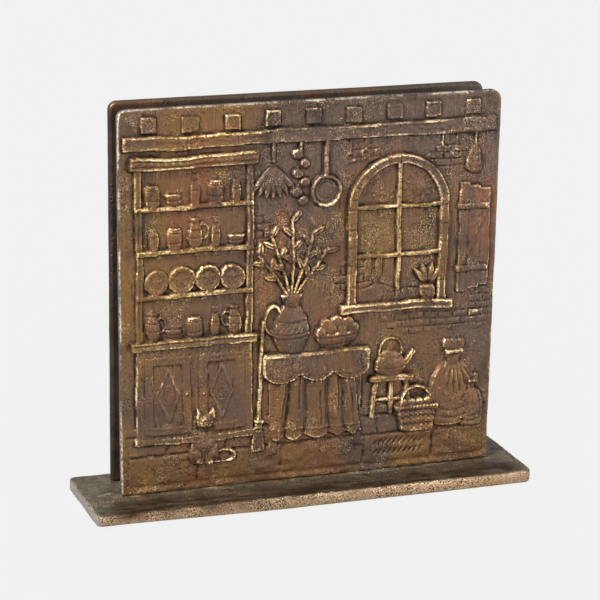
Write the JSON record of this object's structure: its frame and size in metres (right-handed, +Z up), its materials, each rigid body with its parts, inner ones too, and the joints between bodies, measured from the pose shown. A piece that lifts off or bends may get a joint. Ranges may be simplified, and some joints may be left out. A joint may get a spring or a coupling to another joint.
{
  "type": "standing relief plaque",
  "caption": "Cast bronze plaque with a kitchen scene in low relief, standing upright with a plain back plate on one flat foot plate.",
  "frame": {"origin": "middle of the foot plate's underside", "axes": "+Z up, +X along the plaque to its right as seen from the front, +Y from the relief to the back plate"},
  "size_m": [0.271, 0.069, 0.237],
  "materials": {
    "relief_bronze": "brown patina rubbed to gold on the raised edges, satin",
    "back_bronze": "dark brown patina, satin, lighter along the edges",
    "foot_bronze": "olive brown patina, waxed, worn to tan on the front edge"
  },
  "bodies": {
    "root": {"relief_panel": "relief_bronze", "back_plate": "back_bronze", "foot_plate": "foot_bronze"}
  },
  "joints": []
}
